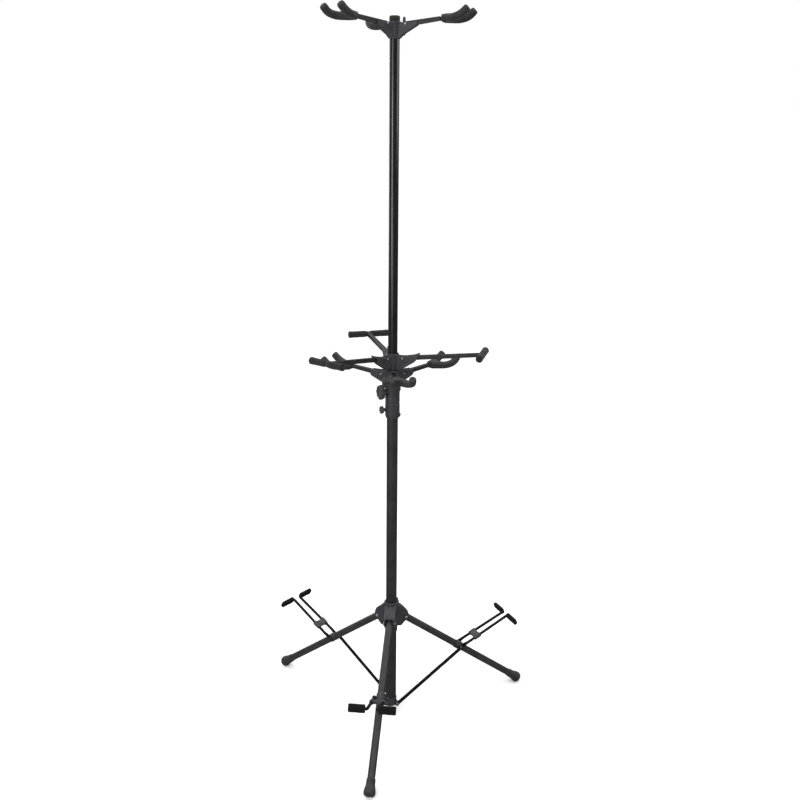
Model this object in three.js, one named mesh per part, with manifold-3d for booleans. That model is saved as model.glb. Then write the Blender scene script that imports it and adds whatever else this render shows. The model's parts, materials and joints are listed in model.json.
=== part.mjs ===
// Folding guitar rack: a tripod mast that carries three low cradles, three mid-height
// neck yokes with three back rests, and three neck yokes at the top.
// Millimetres, +Z up, floor at z = 0. Every arm is drawn in a frame of its own, with x out
// from the mast, y to the left of that and z up, and is then turned about the mast.
import * as THREE from "three";
import { mergeVertices } from "three/addons/utils/BufferGeometryUtils.js";
import Module from "manifold-3d";

const wasm = await Module();
wasm.setup();

// ---- driving dimensions ----------------------------------------------------------------
const MAST_Y = 88.25; // the mast stands behind the middle of the footprint
const GAP = 0.3; // between pieces that touch
const RUNNING = 0.4; // round a piece that slides or turns
const TUBE_SIDES = 24;
const LEG_SIDES = 14;
const THROUGH = 40; // half the length of a hole that goes right through

const lowerTube = { r: 15, wall: 2, z0: 17, z1: 911 };
const upperTube = { r: 12.5, wall: 1.5, z0: 838, z1: 1868 };
const bush = { z0: 820, spigotR: 10.7, spigotTop: 856 };
const cap = { z0: 1856, r: 13.2, shoulder: 1878, topR: 11.8, z1: 1880 };
const collar = { r: 16.9, z0: 17, z1: 40, bossR: 5.5 };
const sleeve = {
  z0: 869, mouthR: 17.2, flareTop: 879, r: 19.5, seam: 913, seamR: 18.6, shoulder: 957, spigotR: 16, z1: 972,
};

// Clamping knobs: azimuth and height, the boss that each is screwed into, and its shape.
const KNOB_NECK = 3.5;
const sleeveKnob = { turn: 212, z: 943, bossR: 7, bossEnd: 23.5, thick: 13, r: 20, lobes: 8, neckR: 6.5 };
const sleeveScrew = { turn: 207, z: 894, bossR: 5, bossEnd: 22, thick: 9, r: 10.5, lobes: 6, neckR: 4 };
const hubKnob = { turn: 82, z: 322, bossR: 6, bossEnd: 26, thick: 10, r: 13, lobes: 5, neckR: 4.5 };
const wingScrew = {
  turn: 48, z: 1858, bossR: 6, bossEnd: 23, length: 9, r: 4.2, span: 18, wingR: 4.5, thick: 2.6,
};

const TRIPOD = { right: 30, left: 150, front: 270 }; // azimuths from +x, in degrees
const legPivot = { x: 39.5, z: 286.04, pinR: 3, headR: 5, headIn: 15.9, headOut: 18 };
const leg = { r: 10, wall: 1.5, slope: 36.3, heel: 12, length: 446.8, saddleR: 12.4, saddleHalf: 15 };
const foot = { start: 426.8, end: 469.3, neckR: 11.6, endR: 15.4, round: 5 };
const crossX = 213; // where the brace and the cradle cross the leg
const braceFoot = { x: 12.5, z: 22.6 };
const brace = { y: -18.9, thick: 3.5, width: 10, eyeR: 6.5, studEnd: 18.4, nutR: 5, washerR: 5.5 };

// The leg hub: its turned core, one ear in side view, and the slot that a leg folds in.
const hubCore = [[17.5, 248], [17.5, 262], [22, 272], [22, 315], [19, 337]];
const hubEar = {
  outline: [
    [10, 268], [24, 264], [34, 274], [41, 279.2], [46.5, 284], [47, 298], [42, 310], [32, 319], [10, 331],
  ],
  half: 15.6,
  slot: [[23, 250], [70, 250], [70, 292], [56, 295], [48.5, 300.8], [42, 303.2], [23, 305]],
  slotHalf: 10.5,
};

// A cradle is tilted up about the crossing. Its two rods run closer together towards the tip.
const cradle = {
  tilt: { right: 25, left: 29.3, front: 21.7 },
  start: 19.5, startY: 15.8, tip: 169.5, tipY: 12.4, rodR: 4,
  tabEnd: 26, tabRootR: 6.2, tabTipR: 4.6, tabOut: 15.9,
};
const spacer = { u0: 48.5, u1: 70.5, halfWidth: 20, halfHeight: 7, chamfer: 2 };
const pad = { inner: 17, outer: 60, halfAlong: 6.5, halfAcross: 11, endWall: 3 };

// Arms that fold up on their pins, and what they end in.
const arm = { width: 11, rootHalf: 6, tipHalf: 4.9, pinR: 2.5, pinReach: 4.4, cheek: 3.6, slack: 0.4 };
const yoke = { root: 123, tip: 193, halfGap: 32.5, prongR: 9.4, rise: 20, palmStart: 118, steps: 8 };
const socket = { depth: 16, r: 3.4 };
const restBar = { halfLength: 58, barR: 4, padR: 9.8, waistR: 7.4, waist: 9, rim: 1.2, endWall: 3 };

// The three hubs that carry them: turn is the azimuth of the first arm, pivot and end are
// points on its axis, and wing is the side view of the cheeks that it folds between.
const lowYokes = {
  turn: 42.3, z0: 957.3, z1: 1001, footR: 19.5, barrelR: 19.5, pivot: [30, 988], end: [123, 1000.5],
  wing: [[5, 962.5], [19, 962.5], [59, 981.5], [62, 985], [61, 999], [19.5, 999], [5, 999]],
};
const backRests = {
  turn: -5.8, z0: 1001.5, z1: 1046, footR: 16.8, barrelR: 16.8, pivot: [28, 1034.5], end: [237, 1054],
  wing: [[5, 1002], [16.3, 1002], [60, 1026.5], [73.5, 1050], [33, 1040.5], [16.8, 1041], [5, 1041]],
};
const highYokes = {
  turn: -12.2, z0: 1826, z1: 1866, footR: 14, barrelR: 17, pivot: [30, 1860], end: [123, 1871],
  wing: [
    [5, 1828], [14, 1828], [22.5, 1836], [54, 1854], [59, 1857.5], [59, 1864.5], [17, 1863.5], [5, 1863.5],
  ],
};
const BARREL_FLARE = 16; // how far up a hub's barrel its foot widens

// ---- colours ---------------------------------------------------------------------------
const paint = new THREE.MeshStandardMaterial({ color: 0x1b1b1d, roughness: 0.38, metalness: 0.3 });
const casting = new THREE.MeshStandardMaterial({ color: 0x2b2b30, roughness: 0.6, metalness: 0 });
const rubber = new THREE.MeshStandardMaterial({ color: 0x1c1c1c, roughness: 0.85, metalness: 0 });
const foam = new THREE.MeshStandardMaterial({ color: 0x141414, roughness: 0.95, metalness: 0 });
const zinc = new THREE.MeshStandardMaterial({ color: 0xb8babd, roughness: 0.3, metalness: 1 });
const nylon = new THREE.MeshStandardMaterial({ color: 0xd8d6cf, roughness: 0.5, metalness: 0 });

const rad = THREE.MathUtils.degToRad;

// ---- solids ----------------------------------------------------------------------------
function solid(geometry) {
  const bare = geometry.clone();
  bare.deleteAttribute("normal");
  bare.deleteAttribute("uv");
  const merged = mergeVertices(bare, 1e-4);
  return new wasm.Manifold(
    new wasm.Mesh({
      numProp: 3,
      vertProperties: new Float32Array(merged.attributes.position.array),
      triVerts: new Uint32Array(merged.index.array),
    }),
  );
}

function geometryOf(made) {
  const mesh = made.getMesh();
  const geometry = new THREE.BufferGeometry();
  geometry.setAttribute("position", new THREE.BufferAttribute(mesh.vertProperties, 3));
  geometry.setIndex(new THREE.BufferAttribute(mesh.triVerts, 1));
  geometry.computeVertexNormals();
  return geometry;
}

const join = (first, ...rest) => rest.reduce((sum, next) => sum.add(next), first);
const cut = (first, ...rest) => rest.reduce((left, next) => left.subtract(next), first);

// A turned shape about +z, from [radius, height] points that run up the outside.
function turned(points, sides = 16) {
  const profile = points.map(([r, z]) => new THREE.Vector2(r, z));
  return solid(new THREE.LatheGeometry(profile, sides).rotateX(Math.PI / 2));
}

// A turned shape with a plain bore, from the points of its outside.
function bored(inner, outside, sides = 16) {
  const low = outside[0][1];
  const high = outside[outside.length - 1][1];
  return turned([[inner, low], ...outside, [inner, high], [inner, low]], sides);
}

const ring = (inner, outer, z0, z1, sides = 16) => bored(inner, [[outer, z0], [outer, z1]], sides);

function disc(r, z0, z1, sides = 16) {
  return turned([[0, z0], [r, z0], [r, z1], [0, z1]], sides);
}

// A round bar between two points.
function bar(from, to, r, sides = 8) {
  const a = new THREE.Vector3(...from);
  const b = new THREE.Vector3(...to);
  const along = b.clone().sub(a);
  const geometry = new THREE.CylinderGeometry(r, r, along.length(), sides);
  const turn = new THREE.Quaternion();
  turn.setFromUnitVectors(new THREE.Vector3(0, 1, 0), along.clone().normalize());
  geometry.applyQuaternion(turn).translate(...a.add(b).multiplyScalar(0.5));
  return solid(geometry);
}

// A bar along y through the point (x, z).
const pin = (x, z, y0, y1, r, sides = 8) => bar([x, y0, z], [x, y1, z], r, sides);

// A bar out along x at height z.
const spoke = (z, x0, x1, r, sides = 8) => bar([x0, 0, z], [x1, 0, z], r, sides);

function box(x0, x1, y0, y1, z0, z1) {
  const geometry = new THREE.BoxGeometry(x1 - x0, y1 - y0, z1 - z0);
  return solid(geometry.translate((x0 + x1) / 2, (y0 + y1) / 2, (z0 + z1) / 2));
}

// A plate whose outline is drawn in x and z, between y0 and y1.
function plate(outline, y0, y1) {
  const drawn = outline instanceof THREE.Shape;
  const shape = drawn ? outline : new THREE.Shape(outline.map(([x, z]) => new THREE.Vector2(x, z)));
  const settings = { depth: y1 - y0, bevelEnabled: false, curveSegments: 8 };
  return solid(new THREE.ExtrudeGeometry(shape, settings).rotateX(Math.PI / 2).translate(0, y1, 0));
}

// The outline of a bar with round ends from point a to point b, half as high as ra and rb.
function stadium(a, b, ra, rb) {
  const angle = Math.atan2(b[1] - a[1], b[0] - a[0]);
  const shape = new THREE.Shape();
  shape.absarc(a[0], a[1], ra, angle + Math.PI / 2, angle + 1.5 * Math.PI, false);
  shape.absarc(b[0], b[1], rb, angle - Math.PI / 2, angle + Math.PI / 2, false);
  return shape;
}

// The corners of a closed outline whose distance from the middle is given for each angle.
function polar(count, reach) {
  const corners = Array.from({ length: count }, (_, i) => {
    const angle = (2 * Math.PI * i) / count;
    return new THREE.Vector2(reach(angle) * Math.cos(angle), reach(angle) * Math.sin(angle));
  });
  return new THREE.Shape(corners);
}

// A section swept along a curve through points, with steps sections.
function swept(section, points, steps) {
  const path = new THREE.CatmullRomCurve3(points.map((p) => new THREE.Vector3(...p)));
  return solid(new THREE.ExtrudeGeometry(section, { steps, extrudePath: path, bevelEnabled: false }));
}

// ---- the assembly ----------------------------------------------------------------------
const rack = new THREE.Group();
rack.position.y = MAST_Y;

function add(name, made, material, turn = 0) {
  const mesh = new THREE.Mesh(geometryOf(made), material);
  mesh.name = name;
  mesh.rotation.z = rad(turn);
  rack.add(mesh);
}

// Carries a solid drawn out along +x from the origin to the point (x, z), tilted up there.
function place(made, x, z, degreesUp) {
  return made.rotate([0, -degreesUp, 0]).translate([x, 0, z]);
}

// ---- mast ------------------------------------------------------------------------------
const tubeBore = lowerTube.r - lowerTube.wall;
const collarBore = lowerTube.r + GAP;
const slideBore = upperTube.r + RUNNING;
const braceInner = brace.y + brace.thick / 2;

function bottomCollar() {
  const shell = ring(collarBore, collar.r, collar.z0, collar.z1);
  const bosses = Object.values(TRIPOD).map((turn) =>
    pin(braceFoot.x, braceFoot.z, braceInner + GAP, -5, collar.bossR).rotate([0, 0, turn]));
  const bore = disc(collarBore, 0, collar.z1 + 10);
  return cut(join(shell, ...bosses), bore);
}

// The round boss that a knob is screwed into.
function knobBoss({ turn, z, bossR, bossEnd }, from) {
  return spoke(z, from, bossEnd, bossR).rotate([0, 0, turn]);
}

function clampSleeve() {
  const { z0, mouthR, flareTop, r, seam, seamR, shoulder, spigotR, z1 } = sleeve;
  const body = turned([
    [collarBore, z0], [mouthR, z0], [r, flareTop], [r, seam - 1], [seamR, seam], [r, seam + 1],
    [r, shoulder], [spigotR, shoulder], [spigotR, z1], [slideBore, z1], [slideBore, seam],
    [collarBore, seam], [collarBore, z0],
  ]);
  return join(body, knobBoss(sleeveKnob, 17), knobBoss(sleeveScrew, 17));
}

// A clamping knob whose neck ends just off the boss it is screwed into.
function clampKnob({ z, bossEnd, thick, r, lobes, neckR }) {
  const outline = polar(lobes * 4, (angle) => r * (0.94 + 0.06 * Math.cos(lobes * angle)));
  const head = solid(new THREE.ExtrudeGeometry(outline, { depth: thick, bevelEnabled: false }));
  const neck = disc(neckR, -KNOB_NECK, 1, 10);
  return place(join(head, neck).rotate([0, 90, 0]), bossEnd + GAP + KNOB_NECK, z, 0);
}

// A wing screw: a round boss with two flat wings, one up and one down.
function wingedScrew({ z, bossEnd, length, r, span, wingR, thick }) {
  const boss = spoke(0, 0, length, r);
  const wings = plate(stadium([0, -span], [0, span], wingR, wingR), -thick / 2, thick / 2);
  return place(join(boss, wings.translate([length - wingR + 1.5, 0, 0])), bossEnd + GAP, z, 0);
}

add("lower_tube", ring(tubeBore, lowerTube.r, lowerTube.z0, lowerTube.z1, TUBE_SIDES), paint);
add("bottom_collar", bottomCollar(), casting);
add("clamp_sleeve", clampSleeve(), casting);
add("sleeve_knob", clampKnob(sleeveKnob), casting, sleeveKnob.turn);
add("sleeve_screw", clampKnob(sleeveScrew), casting, sleeveScrew.turn);

const upperBore = upperTube.r - upperTube.wall;
const bushR = tubeBore - RUNNING / 2;
const bushShoulder = upperTube.z0 - GAP;
const capSeat = upperTube.z1 + GAP;
add("upper_tube", ring(upperBore, upperTube.r, upperTube.z0, upperTube.z1, TUBE_SIDES), paint);
add("slide_bush", turned([
  [0, bush.z0], [bushR, bush.z0], [bushR, bushShoulder], [bush.spigotR, bushShoulder],
  [bush.spigotR, bush.spigotTop], [0, bush.spigotTop],
]), nylon);
add("top_cap", turned([
  [0, cap.z0], [bush.spigotR, cap.z0], [bush.spigotR, capSeat], [cap.r, capSeat], [cap.r, cap.shoulder],
  [cap.topR, cap.z1], [0, cap.z1],
]), rubber);

// ---- leg hub, legs, braces -------------------------------------------------------------
const pinHole = legPivot.pinR + GAP;

function legHub() {
  const boreR = lowerTube.r + RUNNING;
  const core = bored(boreR, hubCore);
  const ears = Object.values(TRIPOD).map((turn) => {
    const block = plate(hubEar.outline, -hubEar.half, hubEar.half);
    const slot = plate(hubEar.slot, -hubEar.slotHalf, hubEar.slotHalf);
    const hole = pin(legPivot.x, legPivot.z, -THROUGH, THROUGH, pinHole);
    return cut(block, slot, hole).rotate([0, 0, turn]);
  });
  return cut(join(core, ...ears, knobBoss(hubKnob, 17)), disc(boreR, 200, 400));
}

const alongLeg = (crossX - legPivot.x) / Math.cos(rad(leg.slope));
const crossZ = legPivot.z - (crossX - legPivot.x) * Math.tan(rad(leg.slope));
const onLeg = (made) => place(made.rotate([0, 90, 0]), legPivot.x, legPivot.z, -leg.slope);

function legTube() {
  const tube = ring(leg.r - leg.wall, leg.r, -leg.heel, leg.length, LEG_SIDES);
  const { saddleR, saddleHalf } = leg;
  const saddle = ring(leg.r - 0.5, saddleR, alongLeg - saddleHalf, alongLeg + saddleHalf, LEG_SIDES);
  const holes = [0, alongLeg].map((t) => bar([0, -THROUGH, t], [0, THROUGH, t], pinHole));
  return onLeg(cut(join(tube, saddle), ...holes));
}

function footCap() {
  const { start, end, neckR, endR, round } = foot;
  const bore = leg.r + GAP;
  const floor = leg.length + GAP;
  const rubberCap = turned([
    [bore, start], [neckR - 1, start], [neckR, start + 1.5], [neckR + 0.6, start + 16], [endR, end - 13],
    [endR, end - round], [endR - 1.5, end - 1.5], [endR - round, end], [0, end], [0, floor], [bore, floor],
    [bore, start],
  ]);
  const ground = box(300, 500, -THROUGH, THROUGH, -THROUGH, 0);
  return cut(onLeg(rubberCap), ground);
}

// The pin on which a leg folds, with a flat head outside each cheek.
function legPin() {
  const { x, z, pinR, headR, headIn, headOut } = legPivot;
  const head = pin(x, z, headIn, headOut, headR);
  return join(pin(x, z, -headOut + 1, headOut - 1, pinR), head, head.mirror([0, 1, 0]));
}

// The flat bar from the bottom collar to the leg, with the stud that joins the crossing.
function braceBar() {
  const { thick, width, eyeR, studEnd, nutR, washerR } = brace;
  const y0 = brace.y - thick / 2;
  const low = [braceFoot.x, braceFoot.z];
  const high = [crossX, crossZ];
  const flat = plate(stadium(low, high, width / 2, width / 2), y0, braceInner);
  const eyes = [low, high].map((at) => pin(...at, y0, braceInner, eyeR, 12));
  const washer = pin(...high, braceInner - 0.5, -cradle.tabOut - GAP, washerR);
  const stud = pin(...high, braceInner - 1, studEnd, legPivot.pinR);
  const nut = pin(...high, cradle.tabOut + GAP, studEnd + 0.6, nutR, 6);
  const rivet = pin(...low, y0 - 1.5, y0 + 1, 3.5);
  const head = pin(...high, y0 - 1.8, y0 + 1, 4.5);
  return join(flat, ...eyes, washer, stud, nut, rivet, head);
}

add("leg_hub", legHub(), casting);
add("hub_knob", clampKnob(hubKnob), casting, hubKnob.turn);
for (const [side, turn] of Object.entries(TRIPOD)) {
  add(`leg_pin_${side}`, legPin(), zinc, turn);
  add(`leg_${side}`, legTube(), paint, turn);
  add(`foot_${side}`, footCap(), rubber, turn);
  add(`brace_${side}`, braceBar(), paint, turn);
}

// ---- cradles ---------------------------------------------------------------------------
// Drawn along +x from the crossing, with the left one of each pair and then its mirror image.
const rodLine = [[cradle.start, cradle.startY, 0], [cradle.tip, cradle.tipY, 0]];

function cradleRod() {
  const { start, tip, rodR, tabEnd, tabRootR, tabTipR, tabOut } = cradle;
  const along = bar(...rodLine, rodR);
  const knee = solid(new THREE.SphereGeometry(rodR, 8, 5)).translate(rodLine[1]);
  const hook = bar(rodLine[1], [tip, pad.outer - pad.endWall - GAP, 0], rodR);
  const tab = plate(stadium([0, 0], [tabEnd, 0], tabRootR, tabTipR), leg.saddleR + GAP, tabOut);
  const hole = pin(0, 0, 0, start * 2, pinHole);
  return cut(join(along, knee, hook, tab), hole);
}

function cradleSpacer() {
  const { u0, u1, halfWidth, halfHeight, chamfer } = spacer;
  const lowSide = [[u0, -halfHeight + chamfer], [u0 + chamfer, -halfHeight]];
  const highSide = [[u1, halfHeight - chamfer], [u1 - chamfer, halfHeight]];
  const outline = [
    ...lowSide, [u1 - chamfer, -halfHeight], [u1, -halfHeight + chamfer],
    ...highSide, [u0 + chamfer, halfHeight], [u0, halfHeight - chamfer],
  ];
  const bore = bar(...rodLine, cradle.rodR + GAP);
  return cut(plate(outline, -halfWidth, halfWidth), bore, bore.mirror([0, 1, 0]));
}

function cradlePad() {
  const oval = new THREE.Shape();
  oval.absellipse(cradle.tip, 0, pad.halfAlong, pad.halfAcross, 0, 2 * Math.PI, false);
  const body = plate(new THREE.Shape(oval.getPoints(12)), pad.inner, pad.outer);
  return cut(body, pin(cradle.tip, 0, 0, pad.outer - pad.endWall, cradle.rodR + GAP));
}

for (const [side, turn] of Object.entries(TRIPOD)) {
  const set = (name, made, material) =>
    add(name, place(made, crossX, crossZ, cradle.tilt[side]), material, turn);
  set(`cradle_spacer_${side}`, cradleSpacer(), casting);
  set(`cradle_rod_${side}_a`, cradleRod(), paint);
  set(`cradle_pad_${side}_a`, cradlePad(), foam);
  set(`cradle_rod_${side}_b`, cradleRod().mirror([0, 1, 0]), paint);
  set(`cradle_pad_${side}_b`, cradlePad().mirror([0, 1, 0]), foam);
}

// ---- hubs with folding arms ------------------------------------------------------------
const slopeOf = ({ pivot, end }) => (end[1] - pivot[1]) / (end[0] - pivot[0]);

// A barrel with three open-topped channels that the arms rest in.
function armHub(spec, bores, extra = []) {
  const { z0, z1, footR, barrelR, pivot, wing } = spec;
  const channelFloor = (x) => pivot[1] + slopeOf(spec) * (x - pivot[0]) - arm.rootHalf - GAP;
  const barrel = turned([[0, z0], [footR, z0], [barrelR, z0 + BARREL_FLARE], [barrelR, z1], [0, z1]]);
  const inner = barrelR + 0.6;
  const outer = wing[3][0] + 20;
  const half = arm.width / 2;
  const channel = plate([
    [inner, channelFloor(inner)], [outer, channelFloor(outer)], [outer, z1 + THROUGH], [inner, z1 + THROUGH],
  ], -half - arm.slack, half + arm.slack);
  const hole = pin(...pivot, -THROUGH, THROUGH, arm.pinR + GAP);
  const cheeks = cut(plate(wing, -half - arm.cheek, half + arm.cheek), channel, hole);
  const wings = [0, 120, 240].map((turn) => cheeks.rotate([0, 0, turn]));
  return cut(join(barrel, ...wings, ...extra), ...bores);
}

// A tapering arm along x from its folding pin, and the length and tilt it has when placed.
function armBar(spec, reach) {
  const tilt = Math.atan(slopeOf(spec));
  const length = (reach - spec.pivot[0]) / Math.cos(tilt);
  const half = arm.width / 2;
  const outline = new THREE.Shape();
  outline.absarc(0, 0, arm.rootHalf, Math.PI / 2, 1.5 * Math.PI, false);
  outline.lineTo(length, -arm.tipHalf);
  outline.lineTo(length, arm.tipHalf);
  const axle = pin(0, 0, -half - arm.pinReach, half + arm.pinReach, arm.pinR);
  return { made: join(plate(outline, -half, half), axle), length, degrees: THREE.MathUtils.radToDeg(tilt) };
}

function yokeArm(spec) {
  const { made, length, degrees } = armBar(spec, yoke.palmStart - 1);
  const tongue = spoke(0, length - 2, length + socket.depth - 1, socket.r - GAP);
  return place(join(made, tongue), ...spec.pivot, degrees);
}

// A forked rubber yoke whose two prongs spread and curl up from a thick palm.
function neckYoke(spec) {
  const { root, tip, halfGap, prongR, rise, palmStart, steps } = yoke;
  const z = spec.end[1];
  const prong = swept(polar(8, () => prongR), [
    [root + 4, 3, z - 1], [root + 18, 12.5, z - 1.5], [root + 36, 26, z - 0.5], [root + 54, halfGap, z + 6],
    [tip, halfGap, z + rise],
  ], steps);
  const palm = plate([
    [palmStart, z - 6], [palmStart + 9, z - 9.4], [root + 32, z - 9.4], [root + 32, z + 7.6],
    [palmStart + 9, z + 8.4], [palmStart, z + 6],
  ], -24, 24);
  const right = [[palmStart, -6.5], [palmStart + 8, -11], [root + 14, -16], [root + 28, -24], [root + 25, -10]];
  const left = right.map(([x, y]) => [x, -y]).reverse();
  const fromAbove = [...right, [root + 22, 0], ...left].map(([x, y]) => new THREE.Vector2(x, y));
  const settings = { depth: THROUGH, bevelEnabled: false };
  const column = solid(new THREE.ExtrudeGeometry(new THREE.Shape(fromAbove), settings));
  const body = palm.intersect(column.translate([0, 0, z - THROUGH / 2]));
  const onAxis = (x) => [x, 0, z + slopeOf(spec) * (x - root)];
  const hollow = bar(onAxis(palmStart - 2), onAxis(palmStart + socket.depth), socket.r);
  return cut(join(prong, prong.mirror([0, 1, 0]), body), hollow);
}

function restArm(spec) {
  const { made, degrees } = armBar(spec, spec.end[0] - 1);
  const reach = restBar.halfLength - restBar.endWall - 1;
  const cross = pin(...spec.end, -reach, reach, restBar.barR);
  return join(place(made, ...spec.pivot, degrees), cross);
}

function restPad(spec) {
  const { halfLength, padR, waistR, waist, rim, barR, endWall } = restBar;
  const [x, z] = spec.end;
  const half = [
    [waistR, waist / 3], [padR, waist], [padR, halfLength - rim], [padR - rim, halfLength], [0, halfLength],
  ];
  const otherHalf = half.map(([r, y]) => [r, -y]).reverse();
  const body = turned([...otherHalf, ...half], 14).rotate([90, 0, 0]).translate([x, 0, z]);
  const bore = pin(x, z, -halfLength + endWall, halfLength - endWall, barR + GAP);
  const side = arm.width / 2 + GAP;
  const notch = box(x - 2 * padR, x + GAP, -side, side, z - 8, z + 8);
  return cut(body, bore, notch);
}

const eachArm = (spec, make) => ["a", "b", "c"].forEach((letter, i) => make(letter, spec.turn + 120 * i));

const throughBore = (r) => disc(r, 900, 1900);
const spigotBore = disc(sleeve.spigotR + RUNNING, 900, sleeve.z1 + RUNNING);
const wingBoss = knobBoss(wingScrew, 14).rotate([0, 0, -highYokes.turn]);

add("yoke_hub", armHub(lowYokes, [throughBore(slideBore), spigotBore]), casting, lowYokes.turn);
add("rest_hub", armHub(backRests, [throughBore(slideBore)]), casting, backRests.turn);
add("top_hub", armHub(highYokes, [throughBore(upperTube.r + GAP)], [wingBoss]), casting, highYokes.turn);
add("top_wing_screw", wingedScrew(wingScrew), casting, wingScrew.turn);

eachArm(lowYokes, (letter, turn) => {
  add(`yoke_arm_${letter}`, yokeArm(lowYokes), paint, turn);
  add(`neck_yoke_${letter}`, neckYoke(lowYokes), rubber, turn);
});
eachArm(backRests, (letter, turn) => {
  add(`rest_arm_${letter}`, restArm(backRests), paint, turn);
  add(`rest_pad_${letter}`, restPad(backRests), foam, turn);
});
eachArm(highYokes, (letter, turn) => {
  add(`top_arm_${letter}`, yokeArm(highYokes), paint, turn);
  add(`top_yoke_${letter}`, neckYoke(highYokes), rubber, turn);
});

export default rack;
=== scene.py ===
"""Looks of the folding guitar rack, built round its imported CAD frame.

Every arm, leg and cradle is drawn in millimetres in a frame of its own, with x out from the mast,
y to the left and z up, and `radial` carries it to its place. Places come from the frame: the mast's
axis from the lower tube's box, and each arm's direction and height from its joint.
"""
import json
import math

import bmesh
import bpy
from mathutils import Matrix, Vector, noise


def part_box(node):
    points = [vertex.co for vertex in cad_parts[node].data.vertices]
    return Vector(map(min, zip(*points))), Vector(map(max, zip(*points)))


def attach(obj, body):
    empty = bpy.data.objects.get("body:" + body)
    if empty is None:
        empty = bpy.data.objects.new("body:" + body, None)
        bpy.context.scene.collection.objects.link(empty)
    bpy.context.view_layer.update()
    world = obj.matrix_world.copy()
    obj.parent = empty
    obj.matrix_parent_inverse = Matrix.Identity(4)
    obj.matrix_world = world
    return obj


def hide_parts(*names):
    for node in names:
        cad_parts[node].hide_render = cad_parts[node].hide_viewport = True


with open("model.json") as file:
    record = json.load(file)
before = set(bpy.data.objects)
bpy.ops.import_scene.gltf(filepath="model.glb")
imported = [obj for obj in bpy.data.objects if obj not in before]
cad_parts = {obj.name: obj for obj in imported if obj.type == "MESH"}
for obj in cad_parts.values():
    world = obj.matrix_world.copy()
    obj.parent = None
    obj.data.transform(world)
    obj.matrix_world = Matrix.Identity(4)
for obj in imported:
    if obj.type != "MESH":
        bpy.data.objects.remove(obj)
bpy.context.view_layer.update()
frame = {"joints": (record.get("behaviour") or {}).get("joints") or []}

MM = 0.001
SIDES = ("right", "left", "front")
LETTERS = ("a", "b", "c")
JOINTS = {joint["name"]: joint for joint in frame["joints"]}


# ---- places ------------------------------------------------------------------------------
def centre(node):
    low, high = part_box(node)
    return (low + high) / 2


MAST = centre("lower_tube")


def spot(joint):
    """(azimuth in degrees, distance from the mast and height in mm) of a joint."""
    x, y, z = JOINTS[joint]["pos_m"]
    out = Vector((x - MAST.x, y - MAST.y))
    turn = math.degrees(math.atan2(out.y, out.x))
    return turn, out.length / MM, z / MM


def radial(turn, x=0.0, z=0.0, tilt=0.0):
    """Carries millimetres in an arm's own frame, tilted up about (x, z), to the part's frame."""
    return (
        Matrix.Translation((MAST.x, MAST.y, 0))
        @ Matrix.Rotation(math.radians(turn), 4, "Z")
        @ Matrix.Scale(MM, 4)
        @ Matrix.Translation((x, 0, z))
        @ Matrix.Rotation(-math.radians(tilt), 4, "Y")
    )


UPRIGHT = radial(0)


# ---- mesh making -------------------------------------------------------------------------
def mesh_from(vertices, faces):
    mesh = bpy.data.meshes.new("shape")
    mesh.from_pydata([tuple(v) for v in vertices], [], faces)
    bm = bmesh.new()
    bm.from_mesh(mesh)
    bmesh.ops.remove_doubles(bm, verts=bm.verts, dist=1e-5)
    bmesh.ops.recalc_face_normals(bm, faces=bm.faces)
    bm.to_mesh(mesh)
    bm.free()
    return mesh


def fillet(outline, radius, closed=True, steps=4):
    """Rounds the corners of an outline of 2-D points. A corner may give its own radius third."""
    corners = [tuple(p) for p in outline]
    rounded = []
    for i, corner in enumerate(corners):
        here = Vector(corner[:2])
        own = corner[2] if len(corner) > 2 else radius
        if own <= 0 or (not closed and i in (0, len(corners) - 1)):
            rounded.append(here)
            continue
        before = Vector(corners[i - 1][:2]) - here
        after = Vector(corners[(i + 1) % len(corners)][:2]) - here
        reach = min(own, before.length * 0.48, after.length * 0.48)
        start = here + before.normalized() * reach
        end = here + after.normalized() * reach
        for k in range(steps + 1):
            t = k / steps
            rounded.append(start * (1 - t) ** 2 + here * 2 * t * (1 - t) + end * t * t)
    return rounded


def turned(profile, segments=48, closed=False):
    """A shape turned about z from (radius, height) points. An open profile ends on the axis."""
    rings = [Vector(p[:2]) for p in profile]
    vertices = []
    for k in range(segments):
        angle = 2 * math.pi * k / segments
        vertices += [(p.x * math.cos(angle), p.x * math.sin(angle), p.y) for p in rings]
    n = len(rings)
    faces = []
    for k in range(segments):
        here, there = k * n, (k + 1) % segments * n
        for i in range(n if closed else n - 1):
            j = (i + 1) % n
            faces.append((here + i, there + i, there + j, here + j))
    return mesh_from(vertices, faces)


def hollow(inner, outer, low, high, edge=0.6, segments=64):
    profile = fillet([(inner, low), (outer, low), (outer, high), (inner, high)], edge)
    return turned(profile, segments, closed=True)


def smooth_curve(points, steps=10):
    """A Catmull-Rom curve through 3-D points, with steps points between each two."""
    path = [Vector(p) for p in points]
    path = [2 * path[0] - path[1], *path, 2 * path[-1] - path[-2]]
    curve = []
    for a, b, c, d in zip(path, path[1:], path[2:], path[3:]):
        for k in range(steps):
            t = k / steps
            curve.append(0.5 * (2 * b + (c - a) * t + (2 * a - 5 * b + 4 * c - d) * t**2
                                + (3 * b - a - 3 * c + d) * t**3))
    curve.append(path[-2])
    return curve


def rounded_loop(half_a, half_b, power, segments):
    """Points round a superellipse: a power of 2 is an oval, and higher powers grow corners."""
    loop = []
    for k in range(segments):
        angle = 2 * math.pi * k / segments
        a, b = math.cos(angle), math.sin(angle)
        loop.append((half_a * math.copysign(abs(a) ** (2 / power), a),
                     half_b * math.copysign(abs(b) ** (2 / power), b)))
    return loop


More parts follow.
